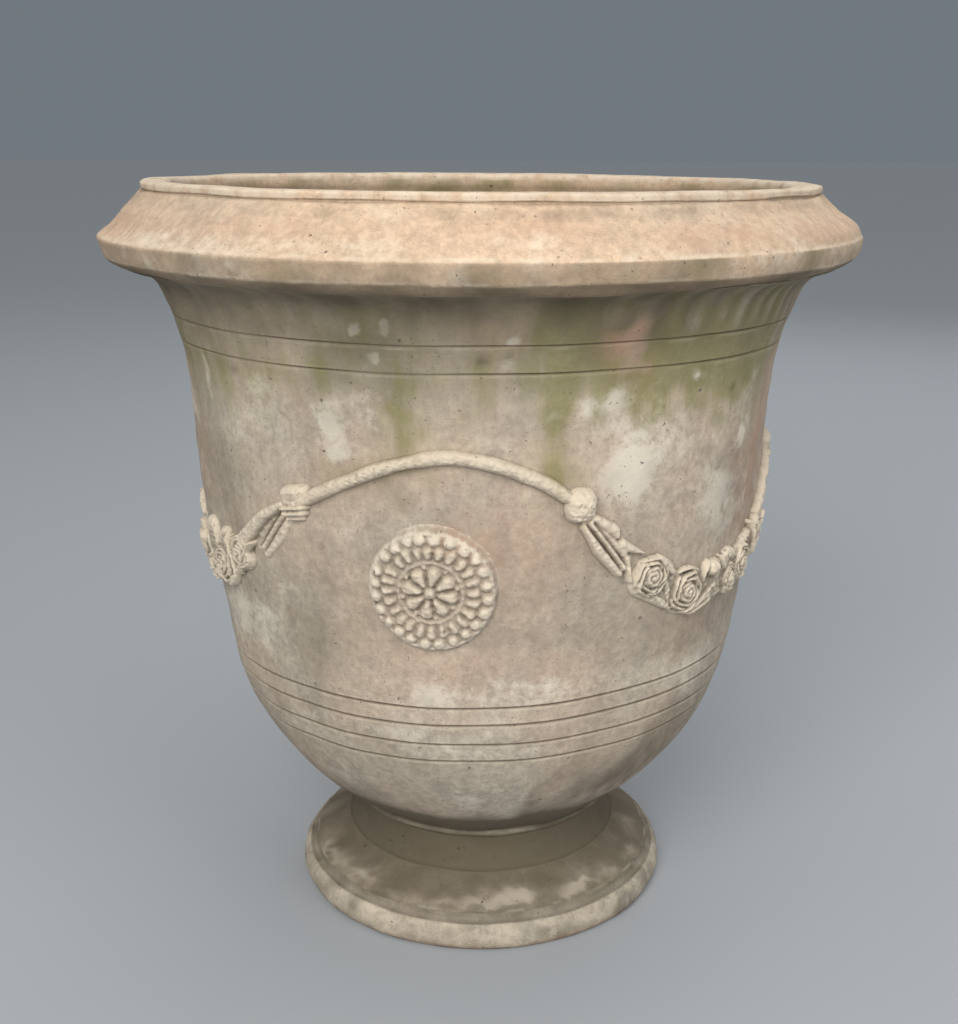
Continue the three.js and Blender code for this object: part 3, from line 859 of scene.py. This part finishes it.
def lump(x, y, start, end, start_radius, end_radius, peak, fullness=2.0, base=0.0):
    """A rounded lobe of clay from one point to another. Fullness over 2 makes it flatter on top."""
    (ax, ay), (bx, by) = start, end
    dx, dy = bx - ax, by - ay
    length = max(dx * dx + dy * dy, 1e-6)
    t = unit(((x - ax) * dx + (y - ay) * dy) / length)
    distance = np.hypot(x - ax - t * dx, y - ay - t * dy)
    radius = start_radius + (end_radius - start_radius) * t
    share = distance / radius
    inside = base + (peak - base) * np.sqrt(unit(1 - share**fullness))
    outside = base - (distance - radius) * 2.5
    return np.where(share < 1, inside, outside)


def leaf(x, y, start, end, width, peak, vein=0.0):
    """A lobe widest in its middle and pointed at both ends, with a groove down it."""
    (ax, ay), (bx, by) = start, end
    length = math.dist(start, end)
    along = ((x - ax) * (bx - ax) + (y - ay) * (by - ay)) / length
    off = np.abs((x - ax) * (by - ay) - (y - ay) * (bx - ax)) / length
    t = unit(along / length)
    half = width * (0.12 + 0.88 * np.sin(np.pi * t) ** 0.75)
    share = np.hypot(off, np.maximum(np.maximum(-along, along - length), 0)) / half
    inside = peak * np.sqrt(unit(1 - share**2.2)) - vein * bump(off, 0, 0.7)
    return np.where(share < 1, inside, -(share - 1) * half * 2.5)


def blob(x, y, centre, radius, peak, fullness=2.0, base=0.0):
    return lump(x, y, centre, centre, radius, radius, peak, fullness, base)


def blurred(heights, size):
    """Heights smoothed over size millimetres."""
    rows, columns = heights.shape
    fy = np.fft.fftfreq(rows)[:, None]
    fx = np.fft.rfftfreq(columns)[None, :]
    spread = size / SHEET_STEP
    keep = np.exp(-2 * (np.pi * spread) ** 2 * (fx**2 + fy**2))
    return np.fft.irfft2(np.fft.rfft2(heights) * keep, s=heights.shape)


def eroded(x, y, heights, seed, amount=0.22, softened=0.55):
    """Softens a pressing as weather does, and roughens it a little."""
    flat = np.stack([x, y, np.full_like(x, 7.0 * seed)], axis=-1)
    soft = blurred(np.maximum(heights, -4), softened)
    rough = amount * waves(flat, 4.5, seed) + 0.6 * amount * waves(flat, 2.2, seed + 1)
    return soft + rough * ease(soft, -2.0, 4.0)


def pressing(
    name, x, y, heights, azimuth, slot, clay=RELIEF_CLAY, crest=1.0, hollow=1.0, cream=0.1, lime=0.0
):
    """A closed pressing on the wall: its face, its back just inside the wall, and a rim between them.

    crest and hollow say how much its ridges show, painted pale as wear and highlight, and how much its
    hollows show, painted dark as shade; cream how pale it is all over, and lime how much bloom lies on its
    ridges.
    """
    rows, columns = heights.shape
    proud = heights > UNDER + 0.4
    cell = proud[:-1, :-1] | proud[1:, :-1] | proud[:-1, 1:] | proud[1:, 1:]
    index = np.arange(rows * columns).reshape(rows, columns)
    corners = np.stack([index[:-1, :-1], index[:-1, 1:], index[1:, 1:], index[1:, :-1]], axis=-1)
    face = corners[cell]
    back = face[:, ::-1] + rows * columns
    edges = np.concatenate([face[:, [i, (i + 1) % 4]] for i in range(4)])
    keys = {tuple(edge) for edge in edges.tolist()}
    rim = np.array([edge for edge in keys if (edge[1], edge[0]) not in keys])
    sides = np.stack([rim[:, 1], rim[:, 0], rim[:, 0], rim[:, 1]], axis=1)
    sides[:, 2:] += rows * columns
    quads = np.concatenate([face, back, sides])

    at = azimuth + x / RELIEF_RADIUS
    root = wall_radius(y) + wall_wobble(at, y)
    front_points = round_points(at, root + np.maximum(heights, UNDER), y)
    back_points = round_points(at, root + UNDER - 0.6, y)
    points = np.concatenate([front_points.reshape(-1, 3), back_points.reshape(-1, 3)])
    level = blurred(heights, 2.2)
    relief = heights - level
    wide = heights - blurred(heights, 6.0)
    stains = wall_stain(at, y)
    stains["grime"] = 0.5 * stains["grime"]
    # Ridges painted pale, partly wear and partly painted highlight; hollows painted dark as painted shade.
    stains["crest"] = unit(crest * (0.34 * relief + 0.10 * wide) + cream)
    stains["lime"] = stains["lime"] + lime * unit(0.6 + 0.6 * relief)
    stains["hollow"] = hollow * unit(-0.42 * relief - 0.06 * wide - 0.06)
    used, kept_quads = np.unique(quads, return_inverse=True)
    values = {key: np.tile(value.ravel(), 2)[used] for key, value in stains.items()}
    kept_quads = kept_quads.reshape(quads.shape)
    return make_mesh(name, points[used], kept_quads, values, clay, [name])


# ---- medallion


def draw_medallion(seed):
    centre = (0.0, MEDALLION_HEIGHT)
    x, y = sheet(-56, 56, 266, 380)
    distance = np.hypot(x - centre[0], y - centre[1])
    rng = np.random.default_rng(seed)

    def at(radius, angle):
        return centre[0] + radius * math.cos(angle), centre[1] + radius * math.sin(angle)

    # Slip smoothed out round the disc, thicker above it and to its right.
    apron = 44.5 + 7.0 * ease((y - centre[1]) + 0.55 * x, -5, 50)
    heights = 2.6 - np.clip(distance - 40, 0, 99) ** 1.3 * (4.1 / (apron - 40) ** 1.3)
    disc = np.where(distance < 43, 4.4, 4.4 - 1.6 * (distance - 43))
    heights = np.maximum(heights, disc) - 1.1 * ease(-distance, -23.0, -20.5)
    ring = 6.0 - 0.7 * ((distance - 22.0) / 1.1) ** 2
    heights = np.maximum(heights, ring)
    beads = 24
    for i in range(beads):
        angle = 2 * math.pi * (i + rng.uniform(-0.14, 0.14)) / beads
        size = rng.uniform(0.86, 1.10)
        outer = at(rng.uniform(37.6, 39.0), angle + math.pi / beads)
        bead = blob(x, y, outer, 4.8 * size, 8.2 * size, 2.2, base=2.2)
        start, end = at(26.9, angle), at(rng.uniform(30.4, 31.8), angle)
        drop = lump(x, y, start, end, 2.7, 3.8 * size, 8.6 * size, 2.2, base=3.0)
        heights = np.maximum(heights, np.maximum(bead, drop))
    petals = 8
    for i in range(petals):
        angle = 2 * math.pi * (i + 0.25) / petals + 0.39
        full = 5.3 * rng.uniform(0.95, 1.03)
        petal = lump(x, y, at(7.0, angle), at(14.6, angle), 2.3, full, 8.6, 2.4, base=3.0)
        pearl = blob(x, y, at(18.8, angle + math.pi / petals), 2.0, 6.6, 2.0, base=3.4)
        heights = np.maximum(heights, np.maximum(petal, pearl))
    square = (np.abs(x - centre[0]) ** 3 + np.abs(y - centre[1]) ** 3) ** (1 / 3)
    boss = np.where(square < 4.4, 4.0 + 5.2 * np.sqrt(unit(1 - (square / 4.4) ** 3)), -9)
    heights = np.maximum(heights, boss)
    return x, y, eroded(x, y, heights, seed, 0.24, 0.62)


# ---- knots, cord, straps and leaves


def draw_knob(side, seed):
    """A round knob with a flattened, pitted face."""
    cx, cy = side * 100.0, 381.8
    x, y = sheet(cx - 20, cx + 20, cy - 20, cy + 20)
    square = (np.abs((x - cx) / 11.2) ** 2.6 + np.abs((y - cy) / 12.6) ** 2.6) ** (1 / 2.6)
    heights = np.where(square < 1, 11.6 * np.sqrt(unit(1 - square**3.0)), -(square - 1) * 25)
    heights = heights - 1.0 * ease(side * (x - cx) - (y - cy), 4, 12)
    return x, y, eroded(x, y, heights, seed, 0.34, 0.7)


def draw_loop(side, seed):
    """A strap folded over the cord's end: a broad smooth fold, with three thin rolls under it."""
    cx, cy = side * 99.3, 380.5
    x, y = sheet(cx - 22, cx + 22, cy - 22, cy + 20)
    tilt = 0.17
    up = (y - cy) + side * tilt * (x - cx)
    square = (np.abs((x - cx) / 12.6) ** 3.4 + np.abs(up / 8.6) ** 3.0) ** (1 / 3.2)
    heights = np.where(square < 1, 8.4 * np.sqrt(unit(1 - square**3.0)), -(square - 1) * 16)
    heights = heights - 0.9 * bump(up, -1.0, 3.6) * (square < 0.9)

    def roll(height, half, width, peak):
        start = (cx - half, cy + height + side * tilt * half)
        end = (cx + half, cy + height - side * tilt * half)
        return lump(x, y, start, end, width, width, peak, 2.4)

    rolls = [roll(-8.0, 9.5, 2.0, 9.6), roll(-12.2, 8.0, 2.5, 8.2), roll(-16.0, 6.0, 2.2, 5.4)]
    return x, y, eroded(x, y, np.maximum.reduce([heights, *rolls]), seed, 0.22)


def cord_line():
    """The arched cord's middle line, as the CAD lays it."""
    points = np.array(
        [(-98, 375.5), (-66, 391.5), (-28, 408), (6, 416.5), (36, 414), (68, 402), (97, 384.5)], float
    )
    ends = np.concatenate([[2 * points[0] - points[1]], points, [2 * points[-1] - points[-2]]])
    t = np.linspace(0, 1, 16, endpoint=False)[:, None]
    line = []
    for p0, p1, p2, p3 in zip(ends, ends[1:], ends[2:], ends[3:]):
        line.append(
            0.5 * (2 * p1 + (p2 - p0) * t + (2 * p0 - 5 * p1 + 4 * p2 - p3) * t**2)
            + 0.5 * (3 * p1 - p0 - 3 * p2 + p3) * t**3
        )
    return np.concatenate([*line, points[-1:]])


def draw_cord(seed):
    line = cord_line()
    x, y = sheet(-104, 104, 362, 428)
    flat = np.stack([x, y, np.full_like(x, 3.0 * seed)], axis=-1)
    distance = np.full_like(x, 99.0)
    for (ax, ay), (bx, by) in zip(line, line[1:]):
        dx, dy = bx - ax, by - ay
        t = unit(((x - ax) * dx + (y - ay) * dy) / math.hypot(dx, dy) ** 2)
        distance = np.minimum(distance, np.hypot(x - ax - t * dx, y - ay - t * dy))
    radius = 5.2 + 0.35 * waves(flat, 26, seed + 3)
    share = distance / radius
    inside = (7.6 + 0.4 * waves(flat, 33, seed + 4)) * np.sqrt(unit(1 - share**2.2))
    heights = np.where(share < 1, inside, -(distance - radius) * 1.6)
    return x, y, eroded(x, y, heights, seed, 0.22)


def draw_spray(side, seed):
    """The straps under a knot: long and flat on the left, raised and with two leaf tips on the right."""
    drawn_out, low = (1.0, 1.0) if side > 0 else (1.2, 0.36)
    x, y = sheet(side * 131 - 44, side * 131 + 44, 310, 394)

    def at(across, height):
        return side * (103 + (across - 103) * drawn_out), height

    def strap(start, end, *shape):
        return lump(x, y, at(*start), at(*end), *shape)

    upper = strap((109, 373), (127, 360.5), 3.0, 5.0, 7.2, 3.2)
    if side > 0:
        # The upper strap is cut off square, above a broad leaf tip and a narrow one.
        broad_tip = strap((131, 350.5), (151, 341.5), 5.4, 0.9, 6.2, 1.8)
        narrow_tip = strap((135.5, 341), (139.5, 323), 2.8, 2.3, 6.8, 2.2)
        ends = [upper - 9 * ease(x, 128, 129.0), broad_tip, narrow_tip]
    else:
        ends = [upper, strap((127, 360.5), (153, 335), 5.0, 6.4, 6.4, 4.0)]
    bed = strap((106, 371), (134, 338), 5.5, 8.0, 3.8 * low, 4.0)
    wedge = strap((111, 367), (133, 344.5), 1.8, 3.8, 5.8 * low, 3.0)
    middle = strap((107, 369.5), (133.5, 334), 2.3, 2.4, 7.2 * low, 3.0)
    lower = strap((103, 366), (114.5, 348), 2.6, 4.2, 8.0 * low, 2.6)
    lower_end = strap((114.5, 348), (129.5, 331), 4.2, 3.5, 8.0 * low, 2.6)
    heights = np.maximum.reduce([bed, wedge, middle, lower, lower_end, *ends])
    # Thin tool lines between the straps.
    for start, end in (((109.5, 369), (136.5, 333.6)), ((104.5, 367.5), (131.5, 332))):
        heights = heights - 2.2 * unit(strap(start, end, 0.8, 0.8, 1.0, 2.0))
    return x, y, eroded(x, y, heights, seed, 0.20, 0.5)


# ---- roses, buds and leaves


def rose(x, y, centre, radius, peak, phase, hand=1, tall=1.0):
    """An open rose: a tight coiled heart inside two rounds of overlapping petal edges."""
    dx, dy = hand * (x - centre[0]) * tall, (y - centre[1]) / tall
    angle = np.arctan2(dy, dx)
    distance = np.hypot(dx, dy)
    share = distance / (radius * (1 + 0.04 * np.cos(5 * angle + phase)))
    bowl = 0.60 * peak * np.sqrt(unit(1 - share**4))
    heights = np.where(share < 1, bowl, -(share - 1) * radius * 2.5)
    winding = 4.0 * share - (angle + phase) / (2 * np.pi) + 0.12 * np.cos(3 * angle + phase)
    step = winding - np.floor(winding)
    fold = np.where(step < 0.6, step / 0.6, (1 - step) / 0.4) ** 0.8
    heart = peak * (1 - 0.5 * share**2) - 2.6 * ease(share, 0.0, 0.10) * (1 - fold)
    heights = np.where(share < 0.50, np.maximum(heights, heart), heights)
    for count, middle, width, level in ((4, 0.66, 0.085, 0.95), (5, 0.88, 0.095, 0.84)):
        for i in range(count):
            off = turn_between(angle, phase * (1 + middle) + 2 * math.pi * i / count) / (3.6 / count)
            line = middle + 0.075 * off
            taper = np.sqrt(unit(1 - off**2)) * 0.6 + 0.4
            across = np.abs(share - line) / (width * taper)
            edge = peak * (level - 0.12 * np.abs(off)) * np.sqrt(unit(1 - across**2))
            heights = np.where((np.abs(off) < 1) & (across < 1), np.maximum(heights, edge), heights)
    return heights


def crescent(x, y, centre, radius, start, end, width, peak):
    """A curled petal or leaf: a short arc about a centre, thick in the middle and thin at its tips."""
    distance = np.hypot(x - centre[0], y - centre[1])
    middle, half = (start + end) / 2, abs(end - start) / 2
    off = np.abs(turn_between(np.arctan2(y - centre[1], x - centre[0]), middle)) / half
    taper = np.sqrt(unit(1 - off**2)) * 0.75 + 0.25
    share = np.abs(distance - radius) / (width * taper)
    shape = peak * taper * np.sqrt(unit(1 - share**2))
    return np.where((share < 1) & (off < 1), shape, -6.0)


def broad_petal(x, y, foot, tip, width, peak):
    """A wide flat petal that stands up from foot to tip, with shallow ribs down its face."""
    ribs = 0.35 * np.cos(1.25 * (x - tip[0]))
    return lump(x, y, foot, tip, 0.85 * width, width, peak, 5.0) + ribs


def draw_swag(seed, rise):
    """The garland between two medallions, from the first one's right knot to the next one's left knot.

    rise is how far its broad petals are drawn up.
    """
    middle = math.pi * RELIEF_RADIUS / 3
    x, y = sheet(middle - 100, middle + 100, 264, 356)
    across = x - middle
    up = math.pi / 2
    shapes = [
        # A low bed of leaves.
        (lump, (-82, 321), (-44, 302), 14.5, 15.5, 5.0, 4.0),
        (lump, (-44, 301), (16, 301), 15.0, 12.0, 4.8, 4.0),
        (lump, (16, 302), (72, 324), 12.5, 13.0, 5.0, 4.0),
        # Five roses, and a petal that cups the second.
        (rose, (-78.5, 323), 15.4, 10.0, 0.8, 1, 1.02),
        (rose, (-42, 304), 15.8, 10.6, 2.2, -1, 1.0),
        (rose, (16, 300.5), 11.4, 10.8, 3.4, 1, 1.12),
        (rose, (39, 307), 14.6, 10.2, 1.4, 1, 1.02),
        (rose, (71, 325), 13.0, 9.8, 0.4, -1, 1.0),
        (crescent, (-42, 304), 18.0, up - 1.0, up + 0.6, 1.8, 7.2),
        # Petals in the gaps.
        (leaf, (-73, 338), (-57, 321), 4.6, 7.6, 0.9),
        (leaf, (-64, 318), (-60, 300), 3.6, 6.8, 0.8),
        (leaf, (-57, 294), (-72, 306), 3.4, 6.6, 0.7),
        # Broad petals that stand behind the two roses on the far side, and a leaf below them.
        (broad_petal, (50, 308), (46, 313 + rise), 12.0, 5.2),
        (broad_petal, (21, 302), (15, 309 + 1.3 * rise), 13.0, 5.2),
        (leaf, (58, 304), (42, 291), 3.6, 6.6, 0.8),
        # Two straight leaf edges that frame the last rose.
        (lump, (55.5, 334), (63.0, 307), 1.5, 1.7, 9.4, 2.2),
        (lump, (86.5, 336), (64.0, 307), 1.5, 1.7, 9.4, 2.2),
        # The bud in its sheath, and ribbed leaves under it.
        (crescent, (-12.5, 312), 10.4, up + 0.25, up + 2.2, 2.2, 7.6),
        (crescent, (-12.5, 312), 10.8, -0.9, up - 0.5, 1.8, 6.4),
        (leaf, (-43, 286.5), (-10, 297), 2.6, 7.6, 0.5),
        (leaf, (-37, 284.5), (-8, 291.5), 2.4, 7.0, 0.5),
        (leaf, (-31, 292), (-5, 303), 2.4, 7.4, 0.5),
        (leaf, (0, 322), (10, 308), 3.2, 6.8, 0.7),
        (blob, (-12.5, 315.5), 7.0, 10.6, 2.4),
    ]
    heights = np.maximum.reduce([shape(across, y, *values) for shape, *values in shapes])
    cleft = lump(across, y, (-13.5, 323), (-11.5, 308), 0.8, 0.8, 1.0, 2.0)
    return x, y, eroded(x, y, heights - 1.4 * unit(cleft), seed, 0.20, 0.45)


SWAG_RISES = (2, 2, 14)  # how far each garland's broad petals are drawn up


def make_relief():
    for repeat in range(3):
        number = str(repeat + 1)
        azimuth = repeat * 2 * math.pi / 3
        seed = 100 * (repeat + 1)
        medallion = draw_medallion(seed)
        ring = np.hypot(medallion[0], medallion[1] - MEDALLION_HEIGHT)
        bloom = 0.75 * ease(ring, 30, 37)
        pressing(
            "medallion_" + number, *medallion, azimuth, "medallion_clay", crest=0.8, hollow=0.5, lime=bloom
        )
        pressing("arch_cord_" + number, *draw_cord(seed + 20), azimuth, "cord_clay", crest=0.8, lime=0.3)
        swag = draw_swag(seed + 40, SWAG_RISES[repeat])
        pressing("flower_swag_" + number, *swag, azimuth, "flower_clay", FLOWER_CLAY, 2.0, 1.2, 0.14, 0.4)
        for word, side, knot, cream in (("left", -1, draw_loop, 0.25), ("right", 1, draw_knob, 0.55)):
            name = number + "_" + word
            knot_drawing = knot(side, seed + 60 + side)
            pressing("boss_" + name, *knot_drawing, azimuth, "knot_clay", cream=cream, lime=cream)
            spray = draw_spray(side, seed + 80 + side)
            pressing("leaf_spray_" + name, *spray, azimuth, "leaf_clay", hollow=0.9, cream=0.28, lime=0.3)


make_body()
make_collar()
make_neck_bead()
make_foot()
make_relief()


# ---- floor and light


def make_floor():
    half = 30.0
    mesh = bpy.data.meshes.new("floor")
    corners = [(-half, -half, 0), (half, -half, 0), (half, half, 0), (-half, half, 0)]
    mesh.from_pydata(corners, [], [(0, 1, 2, 3)])
    material = bpy.data.materials.new("floor")
    material.use_nodes = True
    shader = material.node_tree.nodes["Principled BSDF"]
    shader.inputs["Base Color"].default_value = (0.33, 0.345, 0.36, 1)
    shader.inputs["Roughness"].default_value = 0.9
    mesh.materials.append(material)
    placed("floor", mesh)


def area_light(name, place, target, size, power, colour):
    data = bpy.data.lights.new(name, "AREA")
    data.size = size
    data.energy = power
    data.color = colour
    lamp = placed(name, data)
    lamp.location = place
    toward = np.array(target, float) - np.array(place, float)
    flat = math.hypot(toward[0], toward[1])
    lamp.rotation_euler = (math.atan2(flat, -toward[2]), 0, math.atan2(-toward[0], toward[1]))


def make_light():
    world = bpy.data.worlds.new("studio")
    world.use_nodes = True
    sky = world.node_tree.nodes["Background"]
    sky.inputs["Color"].default_value = (0.165, 0.19, 0.213, 1)
    sky.inputs["Strength"].default_value = 1.0
    bpy.context.scene.world = world
    middle = (0, 0, 0.35)
    area_light("key", (-0.35, -2.85, 2.0), middle, 1.8, 102, (1.0, 0.98, 0.95))
    area_light("top", (0.1, -0.2, 3.2), middle, 2.6, 9, (1.0, 0.99, 0.97))
    area_light("fill", (2.4, -1.5, 1.5), middle, 2.0, 31, (0.98, 0.98, 1.0))
    area_light("back", (0.6, 2.6, 2.2), middle, 2.4, 22, (0.95, 0.97, 1.0))
    haze = bpy.data.lights.new("haze", "SUN")
    haze.energy = 1.05
    haze.angle = math.radians(100)
    placed("haze", haze)


make_floor()
make_light()
bpy.context.scene.view_settings.view_transform = "Standard"
